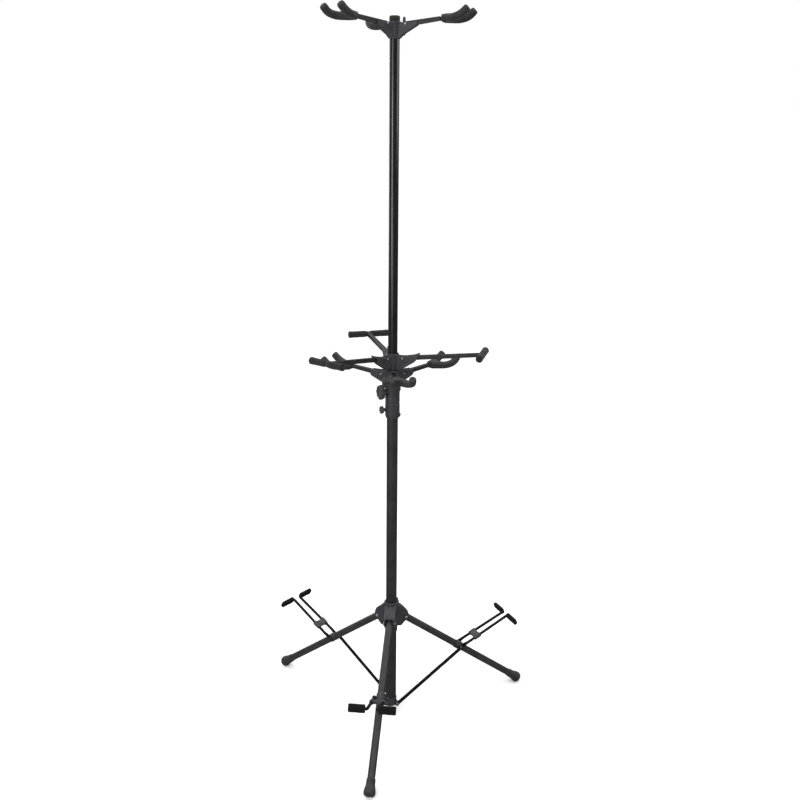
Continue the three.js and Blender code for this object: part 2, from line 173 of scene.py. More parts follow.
def skinned(rings):
    """A closed skin over rings that all have the same number of points."""
    n = len(rings[0])
    vertices = [p for ring in rings for p in ring]
    faces = []
    for i in range(len(rings) - 1):
        for k in range(n):
            j = (k + 1) % n
            faces.append((i * n + k, i * n + j, (i + 1) * n + j, (i + 1) * n + k))
    last = (len(rings) - 1) * n
    faces.append(tuple(reversed(range(n))))
    faces.append(tuple(range(last, last + n)))
    return mesh_from(vertices, faces)


def swept(points, sizes, segments):
    """A tube along points. sizes gives (half width, half height, power) of each section."""
    path = [Vector(p) for p in points]
    rings = []
    for i, p in enumerate(path):
        along = (path[min(i + 1, len(path) - 1)] - path[max(i - 1, 0)]).normalized()
        side = Vector((0, 0, 1)).cross(along).normalized()
        top = along.cross(side)
        loop = rounded_loop(*sizes[i], segments)
        rings.append([p + side * a + top * b for a, b in loop])
    return skinned(rings)


def lofted(sections, segments=48):
    """A skin along y over (y, half x, half z, power) sections, which may turn back into a bore."""
    return skinned([[Vector((a, y, b)) for a, b in rounded_loop(half_x, half_z, power, segments)]
                    for y, half_x, half_z, power in sections])


def fluted(profile, lobes, segments=96):
    """A knob turned about z from (radius, height, flute depth) points that start and end on the axis."""
    rings = []
    for r, z, depth in profile:
        ring = []
        for k in range(segments):
            angle = 2 * math.pi * k / segments
            reach = r - depth * (0.5 - 0.5 * math.cos(lobes * angle)) ** 2
            ring.append(Vector((reach * math.cos(angle), reach * math.sin(angle), z)))
        rings.append(ring)
    return skinned(rings)


def plate(outline, y0, y1):
    """A plate whose outline is drawn in x and z, between y0 and y1."""
    n = len(outline)
    vertices = [(p[0], y, p[1]) for y in (y0, y1) for p in outline]
    faces = [(i, (i + 1) % n, (i + 1) % n + n, i + n) for i in range(n)]
    faces += [tuple(reversed(range(n))), tuple(range(n, 2 * n))]
    return mesh_from(vertices, faces)


def box(x0, x1, y0, y1, z0, z1):
    return plate([(x0, z0), (x1, z0), (x1, z1), (x0, z1)], y0, y1)


def link(a, b, half, eye_a, eye_b, steps=14):
    """The outline of a bar from a to b, half as wide as `half`, with a round eye at each end."""
    a, b = Vector(a), Vector(b)
    along = math.atan2(b.y - a.y, b.x - a.x)
    outline = []
    for end, eye, facing in ((b, eye_b, along), (a, eye_a, along + math.pi)):
        opening = math.pi - math.asin(min(1.0, half / eye))
        for k in range(steps + 1):
            angle = facing - opening + 2 * opening * k / steps
            outline.append(end + eye * Vector((math.cos(angle), math.sin(angle))))
    return outline


def rod(start, end, radius, segments=24, edge=0.5):
    """A round bar between two points, with its end edges eased."""
    a, b = Vector(start), Vector(end)
    length = (b - a).length
    rim = fillet([(0, 0), (radius, 0), (radius, length), (0, length)], edge, closed=False)
    made = turned(rim, segments)
    turn = Vector((0, 0, 1)).rotation_difference(b - a).to_matrix().to_4x4()
    return moved(made, Matrix.Translation(a) @ turn)


def moved(mesh, matrix):
    mesh.transform(matrix)
    return mesh


def shifted(mesh, x=0.0, y=0.0, z=0.0):
    return moved(mesh, Matrix.Translation((x, y, z)))


def about_z(mesh, degrees):
    return moved(mesh, Matrix.Rotation(math.radians(degrees), 4, "Z"))


def along_x(mesh):
    """Lays a shape that was turned about z down, so that its axis runs out along x."""
    return moved(mesh, Matrix.Rotation(math.pi / 2, 4, "Y"))


def along_y(mesh, x, z):
    """Lays a shape that was turned about z down, so that its axis runs along y through (x, z)."""
    return moved(mesh, Matrix.Translation((x, 0, z)) @ Matrix.Rotation(-math.pi / 2, 4, "X"))


def mirrored(mesh):
    copy = mesh.copy()
    copy.transform(Matrix.Scale(-1, 4, (0, 1, 0)))
    copy.flip_normals()
    return copy


def handed(mesh, hand):
    """The mesh for hand 1, or its mirror image across y = 0 for hand -1."""
    return mesh if hand > 0 else mirrored(mesh)


def joined(*meshes):
    bm = bmesh.new()
    for mesh in meshes:
        bm.from_mesh(mesh)
    whole = bpy.data.meshes.new("shape")
    bm.to_mesh(whole)
    bm.free()
    return whole


def modified(mesh, *settings):
    """The mesh after modifiers, each (type, {property: value})."""
    holder = bpy.data.objects.new("holder", mesh)
    bpy.context.scene.collection.objects.link(holder)
    for kind, values in settings:
        modifier = holder.modifiers.new(kind, kind)
        for key, value in values.items():
            setattr(modifier, key, value)
    evaluated = holder.evaluated_get(bpy.context.evaluated_depsgraph_get())
    made = bpy.data.meshes.new_from_object(evaluated)
    bpy.data.objects.remove(holder)
    return made


def eased(mesh, width=0.6, segments=2, angle=30):
    return modified(mesh, ("BEVEL", {"width": width, "segments": segments, "limit_method": "ANGLE",
                                     "angle_limit": math.radians(angle)}))


def combined(mesh, operation, *others):
    for other in others:
        tool = bpy.data.objects.new("tool", other)
        bpy.context.scene.collection.objects.link(tool)
        mesh = modified(mesh, ("BOOLEAN", {"operation": operation, "object": tool, "solver": "EXACT"}))
        bpy.data.objects.remove(tool)
    return mesh


def cast(parts, cutters, voxel, softness):
    """One moulded piece: parts joined, cutters taken out, then every edge softened."""
    body = combined(parts[0], "UNION", *parts[1:])
    body = combined(body, "DIFFERENCE", *cutters)
    return modified(
        body,
        ("REMESH", {"mode": "VOXEL", "voxel_size": voxel, "use_smooth_shade": True}),
        ("SMOOTH", {"factor": 0.5, "iterations": softness}),
    )


def uneven(mesh, depth, size, seed=0):
    """Moves each point along its normal by up to depth, in soft patches of about size."""
    shift = Vector((seed * 17.3, seed * 5.1, 0))
    normals = [v.normal.copy() for v in mesh.vertices]
    for vertex, normal in zip(mesh.vertices, normals):
        vertex.co += normal * depth * noise.noise(vertex.co / size + shift)
    return mesh


def show(name, mesh, body, material, replaces=(), place=UPRIGHT, sharp=40):
    """Makes a named piece from a mesh in millimetres, on a CAD body, with its finish."""
    mesh.transform(place)
    mesh.materials.clear()
    mesh.materials.append(MATERIALS[material])
    mesh.polygons.foreach_set("use_smooth", [True] * len(mesh.polygons))
    mesh.set_sharp_from_angle(angle=math.radians(sharp))
    piece = bpy.data.objects.new(name, mesh)
    bpy.context.scene.collection.objects.link(piece)
    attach(piece, body)
    if replaces:
        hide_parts(*replaces)
    return piece


# ---- finishes ----------------------------------------------------------------------------
class Nodes:
    """A short way to add and wire shader nodes."""

    def __init__(self, tree):
        self.tree = tree
        tree.nodes.clear()

    def add(self, kind, values=None, **settings):
        node = self.tree.nodes.new(kind)
        for key, value in settings.items():
            setattr(node, key, value)
        for socket, value in (values or {}).items():
            if isinstance(value, bpy.types.NodeSocket):
                self.tree.links.new(value, node.inputs[socket])
            else:
                node.inputs[socket].default_value = value
        return node.outputs

    def ramp(self, value, *stops):
        outputs = self.add("ShaderNodeValToRGB", {"Fac": value})
        band = outputs[0].node.color_ramp
        while len(band.elements) < len(stops):
            band.elements.new(0.5)
        for element, (at, colour) in zip(band.elements, stops):
            element.position = at
            element.color = (*colour, 1)
        return outputs["Color"]

    def mix(self, amount, first, second, blend="MIX"):
        """A colour mix. The colour sockets of a mix node are 6 and 7, and its colour output is 2."""
        return self.add("ShaderNodeMix", {0: amount, 6: first, 7: second},
                        data_type="RGBA", blend_type=blend)[2]

    def spread(self, value, low, high):
        return self.add("ShaderNodeMapRange", {"Value": value, "From Min": 0.3, "From Max": 0.7,
                                               "To Min": low, "To Max": high})["Result"]

    def sum(self, first, second, operation="ADD"):
        return self.add("ShaderNodeMath", {0: first, 1: second}, operation=operation)[0]


def grey(value, blue=0.0):
    return value, value, value + blue


BLACK, WHITE = grey(0.0), grey(1.0)


def finish(name, dark, light, rough, patch=45, grain=1600, relief=0.00008, worn=None, pores=0,
           stretch=(1, 1, 1), smudge=9, **shader):
    """A procedural finish. patch, grain, pores and smudge are in cycles a metre. Where pores is given, the
    colour is also darkened in each pore as painted shade.
    """
    material = bpy.data.materials.new(name)
    material.use_nodes = True
    n = Nodes(material.node_tree)
    place = n.add("ShaderNodeTexCoord")["Object"]
    place = n.add("ShaderNodeMapping", {"Vector": place, "Scale": stretch})["Vector"]

    def mottle(scale, detail=4.0):
        return n.add("ShaderNodeTexNoise", {"Vector": place, "Scale": scale, "Detail": detail,
                                            "Roughness": 0.6})["Fac"]

    colour = n.ramp(mottle(patch), (0.35, dark), (0.65, light))
    speck = mottle(grain, 3.0)
    height = speck
    if pores:
        cells = n.add("ShaderNodeTexVoronoi", {"Vector": place, "Scale": pores})["Distance"]
        height = n.sum(n.ramp(cells, (0.05, BLACK), (0.45, WHITE)), speck)
        # Painted shade: the colour is multiplied darker towards the middle of each pore, where the hollow
        # would fall in shade.
        colour = n.mix(1.0, colour, n.ramp(cells, (0.0, grey(0.4)), (0.4, WHITE)), "MULTIPLY")
    if worn:
        edge = n.add("ShaderNodeNewGeometry")["Pointiness"]
        edge = n.ramp(edge, (0.51, BLACK), (0.60, WHITE))
        rubbed = n.sum(edge, n.spread(mottle(140), 0.1, 0.8), "MULTIPLY")
        colour = n.mix(rubbed, colour, (*worn, 1))
    roughness = n.sum(n.spread(mottle(smudge), *rough), n.spread(speck, -0.04, 0.04))
    bump = n.add("ShaderNodeBump", {"Height": height, "Strength": 1.0, "Distance": relief})["Normal"]
    values = {"Base Color": colour, "Roughness": roughness, "Normal": bump, **shader}
    surface = n.add("ShaderNodeBsdfPrincipled", values)["BSDF"]
    n.add("ShaderNodeOutputMaterial", {"Surface": surface})
    return material


MATERIALS = {
    "tube_paint": finish(
        "satin_black_paint", grey(0.012, 0.001), grey(0.020, 0.002), (0.40, 0.50),
        grain=500, relief=0.00001, worn=grey(0.05, 0.004), **{"Specular IOR Level": 0.3},
    ),
    "gloss_paint": finish(
        "gloss_black_paint", grey(0.003), grey(0.006, 0.001), (0.20, 0.27),
        grain=500, relief=0.00001, worn=grey(0.03, 0.002), **{"Specular IOR Level": 0.6},
    ),
    "leg_paint": finish(
        "satin_black_leg_paint", grey(0.017, 0.001), grey(0.027, 0.002), (0.38, 0.48),
        grain=500, relief=0.00001, worn=grey(0.06, 0.004), **{"Specular IOR Level": 0.3},
    ),
    "rod_paint": finish(
        "satin_black_rod_paint", grey(0.004), grey(0.007, 0.001), (0.52, 0.62),
        grain=700, relief=0.00001, worn=grey(0.02, 0.002), **{"Specular IOR Level": 0.1},
    ),
    "bar_paint": finish(
        "satin_black_bar_paint", grey(0.012, 0.001), grey(0.019, 0.002), (0.42, 0.54),
        grain=600, relief=0.00002, worn=grey(0.05, 0.004), **{"Specular IOR Level": 0.3},
    ),
    "casting": finish(
        "dark_casting", grey(0.020, 0.005), grey(0.030, 0.007), (0.48, 0.62),
        grain=1900, relief=0.00009, worn=grey(0.09, 0.012),
    ),
    "rubber": finish(
        "matt_rubber", grey(0.010), grey(0.017, 0.001), (0.62, 0.78),
        patch=70, grain=2300, relief=0.00010, worn=grey(0.045),
        **{"Sheen Weight": 0.05, "Sheen Roughness": 0.5},
    ),
    "foam": finish(
        "closed_cell_foam", grey(0.006), grey(0.012), (0.86, 0.97),
        patch=90, grain=1500, relief=0.00022, pores=1100,
        **{"Sheen Weight": 0.06, "Sheen Roughness": 0.6, "Specular IOR Level": 0.35},
    ),
    "hook_foam": finish(
        "dense_black_foam", grey(0.003), grey(0.006), (0.86, 0.97),
        patch=90, grain=1500, relief=0.00022, pores=1200, **{"Specular IOR Level": 0.2},
    ),
    "zinc": finish(
        "dull_zinc", grey(0.34, 0.01), grey(0.48, 0.015), (0.34, 0.5),
        patch=260, grain=2600, relief=0.00004, stretch=(1, 1, 5), Metallic=1.0,
    ),
    "black_zinc": finish(
        "blackened_zinc", grey(0.10, 0.005), grey(0.17, 0.01), (0.42, 0.56),
        patch=260, grain=2600, relief=0.00004, stretch=(1, 1, 5), Metallic=1.0,
    ),
    "nylon": finish(
        "white_nylon", (0.66, 0.65, 0.60), (0.74, 0.73, 0.69), (0.42, 0.55),
        grain=1300, relief=0.00005,
    ),
}


# ---- sizes -------------------------------------------------------------------------------
def rise(node):
    """The lowest and highest point of a CAD node, in mm."""
    low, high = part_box(node)
    return low.z / MM, high.z / MM


def half_width(node):
    low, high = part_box(node)
    return (high.x - low.x) / 2 / MM


LOWER_WALL = 2
UPPER_WALL = 1.5
SEAM_Z = 913  # where the two halves of the clamp sleeve meet
SPIGOT_R = 16
LEG_SLOPE = -36.3
LEG_LENGTH = 446.8
LEG_HEEL = 12
LEG_R = 10
SADDLE_R = 12.0
FOOT_START, FOOT_END = 426.8, 469.3
BRACE_FOOT = (12.5, 22.6)
BRACE_Y = -18.9
BRACE_HALF_WIDTH, BRACE_HALF_THICK, BRACE_EYE = 5, 1.75, 6.5
ROD_R = 4
ROD_ROOT, ROD_TIP = (20, 15.8), (169.5, 12.4)  # the rods run closer together towards the tip
SPACER = (48.5, 70.5)
PAD_START, PAD_END = 17, 60
CRADLE_TILT = {"right": 25, "left": 29.3, "front": 21.7}
ARM_HALF = 5.5
YOKE_ROOT, YOKE_TIP = 123, 193
PALM_START = YOKE_ROOT - 5
PRONG_GAP = 32.5
PRONG_R = 9.4
BAR_HALF = 58
KNOB_NECK = 3.5  # how far a knob's head stands out from its start
INSERT_SINK = 1.8  # how deep the steel hexagon sits below a knob's face

# Knobs: where each starts out from the mast, its size, the boss it is in and its nut's height.
KNOBS = {
    "sleeve_knob": {"start": 23.8, "thick": 13, "r": 20, "lobes": 8, "neck": 6.5, "boss": 8, "nut_z": 949},
    "sleeve_screw": {"start": 22.3, "thick": 9, "r": 10.5, "lobes": 6, "neck": 4, "boss": 6, "nut_z": 877},
    "hub_knob": {"start": 26.3, "thick": 10, "r": 13, "lobes": 5, "neck": 4.5},
}

# Hubs of the folding arms: the barrel, the ends of the arms' axes, the side view of a cheek with
# the radius of each corner, and of the shallow pocket in it.
HUBS = {
    "yoke": {
        "arm": "yoke_arm", "top": 1001, "barrel": 19.5, "foot": 19.2, "end": (123, 1000.5),
        "cheek": [(5, 962.5, 0), (18.9, 962.5, 3), (59, 981.2, 3), (62.4, 985.5, 3), (61, 999, 3),
                  (40, 998, 8), (19.5, 999, 1), (5, 999, 0)],
        "pocket": [(23.5, 969), (48, 980), (23.5, 978.5)],
    },
    "rest": {
        "arm": "rest_arm", "top": 1046, "barrel": 16.8, "foot": 16.4, "end": (237, 1054),
        "cheek": [(5, 1002, 0), (16.3, 1002, 0), (24, 1004, 6), (59, 1025.5, 3), (63, 1029.5, 3),
                  (74, 1050.5, 2), (60, 1045, 8), (34, 1040.5, 8), (16.8, 1041, 1), (5, 1041, 0)],
        "pocket": [(22, 1008), (50, 1025.5), (22, 1024)],
    },
    "top": {
        "arm": "top_arm", "top": 1866, "barrel": 17, "foot": 13.9, "end": (123, 1871),
        "cheek": [(5, 1828, 0), (13.6, 1828, 0), (22, 1836, 9), (53, 1853.5, 5), (59.5, 1857.5, 2),
                  (60, 1864.5, 2), (30, 1863.2, 8), (17, 1863.5, 1), (5, 1863.5, 0)],
        "pocket": [(22, 1840.5), (44, 1852.5), (22, 1850.5)],
    },
}


# ---- fasteners ---------------------------------------------------------------------------
def dome(radius, height, segments=32):
    """A rivet head on z = 0 with a small flat rim."""
    profile = [(0, -0.6), (radius, -0.6), (radius, height * 0.25)]
    for k in range(1, 8):
        angle = math.pi / 2 * k / 8
        profile.append((radius * math.cos(angle) * 0.97, height * (0.25 + 0.75 * math.sin(angle))))
    return turned([*profile, (0, height)], segments)


def cross_head(radius, height):
    """A pan head with a cross recess."""
    slot, depth = radius * 0.13, height * 0.55
    arms = [about_z(box(-radius * 0.6, radius * 0.6, -slot, slot, height - depth, height + 1), turn)
            for turn in (0, 90)]
    return combined(dome(radius, height), "DIFFERENCE", *arms)


def hex_nut(radius, height):
    """A chamfered hexagon on z = 0."""
    corners = [(radius * math.cos(math.pi * k / 3), radius * math.sin(math.pi * k / 3)) for k in range(6)]
    prism = plate(corners, 0, height)
    prism = moved(prism, Matrix.Rotation(math.pi / 2, 4, "X") @ Matrix.Scale(-1, 4, (0, 1, 0)))
    prism.flip_normals()
    chamfer = turned([(0, 0), (radius * 0.93, 0), (radius * 1.01, 0.6), (radius * 1.01, height - 0.6),
                      (radius * 0.93, height), (0, height)], 36)
    return eased(combined(prism, "INTERSECT", chamfer), 0.15)


def pin_heads(x, z, y0, y1, radius, height):
    """Two domed heads, facing out from y0 and y1, on one axis along y."""
    left = shifted(along_y(dome(radius, height), x, z), y=y1)
    right = shifted(mirrored(along_y(dome(radius, height), x, z)), y=y0)
    return joined(left, right)


def bolt_washer(radius, y0, y1, at):
    """A washer on the crossing bolt, between y0 and y1."""
    return along_y(hollow(2.8, radius, y0, y1, edge=0.2, segments=32), *at)


# ---- mast --------------------------------------------------------------------------------
def lobed_knob(start, thick, r, lobes, neck):
    """A fluted clamping knob with a dished face and a steel hexagon set in it."""
    flute = r * 0.14
    lip = min(2.2, thick * 0.2)
    profile = [(0, -3.4, 0), (neck - 0.6, -3.4, 0), (neck, -2.8, 0), (neck, 0, 0), (neck + 0.8, 0.6, 0)]
    rim = fillet([(neck + 1, 0.4), (r * 0.86, 0), (r, lip * 1.3), (r, thick - lip), (r * 0.86, thick),
                  (r * 0.55, thick - 0.4), (r * 0.50, thick - 1.6), (0, thick - 1.6)], lip, closed=False)
    for point in rim:
        profile.append((point.x, point.y, flute * max(0.0, min(1.0, (point.x / r - 0.5) / 0.4))))
    return shifted(along_x(fluted(profile, lobes)), x=start + KNOB_NECK)


def add_knobs():
    for name, knob in KNOBS.items():
        turn, _, z = spot(f"{name}_turn")
        place = radial(turn, 0, z)
        head = lobed_knob(knob["start"], knob["thick"], knob["r"], knob["lobes"], knob["neck"])
        show(f"{name}_grip", head, name, "casting", [name], place)
        seat = knob["start"] + KNOB_NECK + knob["thick"] - INSERT_SINK
        insert = shifted(along_x(hex_nut(knob["r"] * 0.26, 1.5)), x=seat)
        show(f"{name}_insert", insert, name, "zinc", place=place)


def add_tubes():
    for name, node, body, wall, paint in (
        ("mast_lower_tube", "lower_tube", "mast", LOWER_WALL, "tube_paint"),
        ("mast_upper_tube", "upper_tube", "upper_mast", UPPER_WALL, "gloss_paint"),
    ):
        radius = half_width(node)
        show(name, hollow(radius - wall, radius, *rise(node), edge=0.5), body, paint, [node])
    low = rise("lower_tube")[0]
    bore = half_width("lower_tube") - LOWER_WALL
    plug = fillet([(0, low - 1.5), (bore + 1.5, low - 1.5), (bore + 1.5, low - 0.2), (bore - 0.3, low - 0.2),
                   (bore - 0.6, low + 12), (0, low + 12)], 0.7, closed=False)
    show("mast_end_plug", turned(plug), "mast", "rubber")


def add_slide_bush():
    z0, z1 = rise("slide_bush")
    shoulder = rise("upper_tube")[0] - 0.3
    outer, spigot = half_width("slide_bush"), 10.7
    grooves = []
    for z in (z0 + 4, z0 + 9):
        grooves += [(outer, z), (outer - 0.8, z + 0.5), (outer - 0.8, z + 1.5), (outer, z + 2)]
    profile = [(0, z0), (outer - 0.8, z0), (outer, z0 + 0.8), *grooves, (outer, shoulder),
               (spigot, shoulder), (spigot, z1 - 1), (spigot - 1, z1), (0, z1)]
    show("slide_bush_moulding", turned(profile, 64), "upper_mast", "nylon", ["slide_bush"])


def add_top_cap():
    z0, z1 = rise("top_cap")
    rim = half_width("top_cap")
    tube_top = rise("upper_tube")[1] + 0.3
    profile = fillet([
        (0, z0), (10.6, z0), (10.6, tube_top), (rim, tube_top, 0.5), (rim, z1 - 3.5, 1.2),
        (rim - 1.2, z1 - 0.6, 1.2), (rim - 4, z1, 1), (rim - 5, z1 - 0.9, 0.6), (0, z1 - 0.6, 0),
    ], 0.4, closed=False)
    show("mast_end_cap", turned(profile, 64), "upper_mast", "rubber", ["top_cap"])


def add_bottom_collar():
    z0, z1 = rise("bottom_collar")
    bore = half_width("lower_tube") + 0.3
    band, waist = 16.9, 16.3
    ring = turned(fillet([
        (bore, z0), (band, z0), (band, z0 + 3.5), (waist, z0 + 4.3), (waist, z1 - 4.3), (band, z1 - 3.5),
        (band, z1), (bore, z1),
    ], 0.6), 64, closed=True)
    parts = [ring]
    for side in SIDES:
        boss = along_y(turned([(0, -16.8), (5.4, -16.8), (5.9, -13), (6.4, -4), (0, -4)], 40), *BRACE_FOOT)
        parts.append(about_z(boss, spot(f"leg_{side}_hinge")[0]))
    bore_cut = turned([(0, z0 - 9), (bore, z0 - 9), (bore, z1 + 9), (0, z1 + 9)], 64)
    show("bottom_collar_casting", cast(parts, [bore_cut], 0.7, 2), "mast", "casting", ["bottom_collar"])


def add_clamp_sleeve():
    """Two moulded halves that meet at a seam, with a boss for each knob and its nut opposite."""
    z0, top = rise("clamp_sleeve")
    shoulder = 957
    bore = half_width("lower_tube") + 0.3
    slide = half_width("upper_tube") + 0.4
    shell = turned(fillet([
        (bore, z0), (16.6, z0, 0.5), (16.8, z0 + 3, 0.5), (18.2, z0 + 3.8, 0.6), (18.4, z0 + 7.5, 0.6),
        (19.5, z0 + 8.5, 0.8), (19.5, SEAM_Z - 2.5, 0.6), (18.5, SEAM_Z - 1, 0.5), (18.5, SEAM_Z + 0.6, 0.5),
        (19.3, SEAM_Z + 2, 0.6), (19.3, shoulder - 8, 0.8), (19.9, shoulder - 6.5, 0.8),
        (19.9, shoulder, 1.2),
        (SPIGOT_R, shoulder, 0.4), (SPIGOT_R, top, 0.6), (slide, top, 0.4), (slide, SEAM_Z), (bore, SEAM_Z),
    ], 0.4), 72, closed=True)
    parts = [shell]
    for name in ("sleeve_knob", "sleeve_screw"):
        knob = KNOBS[name]
        turn, _, z = spot(f"{name}_turn")
        boss, end = knob["boss"], knob["start"] - 0.4
        near = [(0, 16.5), (boss + 1.5, 16.5), (boss, 20), (boss - 0.8, end), (0, end)]
        far = [(0, -21.4), (boss - 1, -21.4), (boss, -19.8), (boss + 1, -16.5), (0, -16.5)]
        for profile, height in ((near, z), (far, knob["nut_z"])):
            piece = along_x(turned(fillet(profile, 0.8, closed=False), 40))
            parts.append(about_z(shifted(piece, z=height), turn))
        nut = shifted(along_x(hex_nut(boss * 0.6, 2.6)), x=-23.6)
        show(f"{name}_nut", nut, "mast", "zinc", place=radial(turn, 0, knob["nut_z"]))
    ribs, first = 10, 18 + spot("sleeve_knob_turn")[0]
    grooves = [about_z(box(19.0, 24, -1.1, 1.1, SEAM_Z + 12, shoulder - 14), first + 360 / ribs * i)
               for i in range(ribs)]
    inside = [(0, z0 - 5), (bore, z0 - 5), (bore, SEAM_Z), (slide, SEAM_Z), (slide, top + 9), (0, top + 9)]
    made = cast(parts, [turned(inside, 72), *grooves], 0.8, 2)
    show("clamp_sleeve_casting", made, "mast", "casting", ["clamp_sleeve"])


# ---- leg hub, legs, braces ---------------------------------------------------------------
def add_leg_hub():
    z0, z1 = rise("leg_hub")
    bore = half_width("lower_tube") + 0.5
    core = turned(fillet([
        (bore, z0), (17.4, z0, 1), (17.4, 261, 2), (22, 272, 3), (22, 314, 3), (18.4, 327, 2),
        (18.4, 330, 0.8), (20.2, 331.5, 1), (20.2, z1, 1.4), (bore, z1),
    ], 0.5), 72, closed=True)
    ear = fillet([(10, 268), (24, 263.5), (34, 274), (41, 279), (46.8, 284), (47.4, 298), (42, 310.5),
                  (32, 319.5), (10, 331.5)], 3)
    channel = [(23, 240), (75, 240), (75, 292), (56, 295), (48.5, 300.8), (42, 303.2), (23, 305)]
    pocket = fillet([(24, 275), (31, 281), (31, 308), (24, 312)], 2)
    rib = fillet([(12, 326), (31, 316), (33, 320.5), (12, 334.5)], 2)
    parts, cutters = [core], []
    for side in SIDES:
        turn, x, z = spot(f"leg_{side}_hinge")
        pads = along_y(turned([(0, -16.0), (6.6, -16.0), (6.6, 16.0), (0, 16.0)], 40), x, z)
        parts += [about_z(part, turn) for part in (plate(ear, -15.5, 15.5), pads, plate(rib, -3, 3))]
        cutters.append(about_z(plate(channel, -10.4, 10.4), turn))
        for y0, y1 in ((-20, -14.5), (14.5, 20)):
            cutters.append(about_z(plate(pocket, y0, y1), turn))
    knob_turn, _, knob_z = spot("hub_knob_turn")
    boss = along_x(turned([(0, 17), (8, 17), (6.4, 21), (6.2, 25.8), (0, 25.8)], 40))
    parts.append(about_z(shifted(boss, z=knob_z), knob_turn))
    cutters.append(turned([(0, z0 - 5), (bore, z0 - 5), (bore, z1 + 5), (0, z1 + 5)], 72))
    show("leg_hub_casting", cast(parts, cutters, 0.95, 3), "leg_hub", "casting", ["leg_hub"])


def add_leg(side):
    turn, x, z = spot(f"leg_{side}_hinge")
    bore = LEG_R - 1.5
    tube = turned(fillet([
        (0, -LEG_HEEL), (LEG_R, -LEG_HEEL, 3), (LEG_R, LEG_LENGTH, 0.4), (bore, LEG_LENGTH, 0.4),
        (bore, 3 - LEG_HEEL), (0, 3 - LEG_HEEL),
    ], 0.3, closed=False), 56)
    place = radial(turn, x, z, LEG_SLOPE)
    show(f"leg_tube_{side}", along_x(tube), f"leg_{side}", "leg_paint", [f"leg_{side}"], place)

    pin = joined(rod((x, -16, z), (x, 16, z), 2.9), pin_heads(x, z, -16.2, 16.2, 4.9, 2.1))
    show(f"leg_pivot_{side}", pin, "leg_hub", "zinc", [f"leg_pin_{side}"], radial(turn))


def crossing(side):
    """How far down the leg, and how far out and how high, the brace and cradle cross it."""
    _, x, z = spot(f"leg_{side}_hinge")
    _, cross_x, cross_z = spot(f"brace_{side}_hinge")
    return math.hypot(cross_x - x, cross_z - z), cross_x, cross_z


def add_saddle(side):
    """The moulded sleeve on the leg that the crossing bolt goes through."""
    turn, x, z = spot(f"leg_{side}_hinge")
    middle, _, _ = crossing(side)
    bands = [(LEG_R + 0.05, -13), (11.3, -13, 0.8), (SADDLE_R, -11, 0.5), (SADDLE_R, -9, 0.4),
             (11.5, -8.4, 0.4), (11.5, 8.4, 0.4), (SADDLE_R, 9, 0.4), (SADDLE_R, 11, 0.5),
             (11.3, 13, 0.8), (LEG_R + 0.05, 13)]
    shell = shifted(along_x(turned(fillet(bands, 0.3), 56, closed=True)), x=middle)
    boss = along_y(turned([(0, -12.5), (6.4, -12.5), (6.4, 12.5), (0, 12.5)], 40), middle, 0)
    wedge = box(middle - 7, middle + 7, -4, 4, 8, SADDLE_R + 0.2)
    bore = along_x(turned([(0, middle - 20), (LEG_R + 0.05, middle - 20), (LEG_R + 0.05, middle + 20),
                           (0, middle + 20)], 56))
    saddle = cast([shell, boss, wedge], [bore], 0.7, 2)
    show(f"leg_saddle_{side}", saddle, f"leg_{side}", "casting", place=radial(turn, x, z, LEG_SLOPE))


def add_foot(side):
    """A flared rubber foot with rings round its neck, cut flat where it stands."""
    turn, x, z = spot(f"leg_{side}_hinge")
    start, end = FOOT_START, FOOT_END
    outside = [(LEG_R + 0.1, start), (11.2, start, 0.7), (11.6, start + 2, 0.5)]
    for ring in (start + 3.5, start + 7, start + 10.5):
        outside += [(11.7, ring, 0.3), (11.1, ring + 0.6, 0.3), (11.1, ring + 1.3, 0.3),
                    (11.8, ring + 1.9, 0.3)]
    outside += [(12.2, start + 17, 6), (15.0, end - 14, 6), (15.5, end - 5, 3), (13.0, end - 0.6, 2.5),
                (8, end, 1), (0, end, 0), (0, LEG_LENGTH + 0.3, 0), (LEG_R + 0.1, LEG_LENGTH + 0.3, 0)]
    tilted = Matrix.Translation((x, 0, z)) @ Matrix.Rotation(math.radians(-LEG_SLOPE), 4, "Y")
    foot = moved(along_x(turned(fillet(outside, 0.4), 64, closed=True)), tilted)
    below_floor = box(300, 500, -40, 40, -40, 0)
    foot = combined(foot, "DIFFERENCE", below_floor)
    show(f"rubber_foot_{side}", foot, f"leg_{side}", "rubber", [f"foot_{side}"], radial(turn))


def add_brace(side):
    turn = spot(f"leg_{side}_hinge")[0]
    _, cross_x, cross_z = crossing(side)
    near, far = BRACE_FOOT, (cross_x, cross_z)
    y0, y1 = BRACE_Y - BRACE_HALF_THICK, BRACE_Y + BRACE_HALF_THICK
    bar = eased(plate(link(near, far, BRACE_HALF_WIDTH, BRACE_EYE, BRACE_EYE), y0, y1), 0.5, 3, 25)
    place = radial(turn)
    body = f"brace_{side}"
    show(f"brace_bar_{side}", bar, body, "rod_paint", [f"brace_{side}"], place)
    rivet = shifted(mirrored(along_y(dome(3.6, 1.6), *near)), y=y0)
    show(f"brace_rivet_{side}", rivet, body, "zinc", place=place)
    bolt = joined(
        shifted(mirrored(along_y(cross_head(4.8, 2.2), *far)), y=y0),
        rod((far[0], y0 + 1, far[1]), (far[0], 20.2, far[1]), 2.7, edge=0.6),
        bolt_washer(6.0, y1 + 0.1, -16.1, far),
    )
    show(f"crossing_bolt_{side}", bolt, body, "black_zinc", place=place)
    nut = shifted(along_y(hex_nut(5, 2.8), *far), y=16.8)
    nut = joined(bolt_washer(6.2, 16.1, 16.8, far), nut)
    show(f"crossing_nut_{side}", nut, body, "black_zinc", place=place)


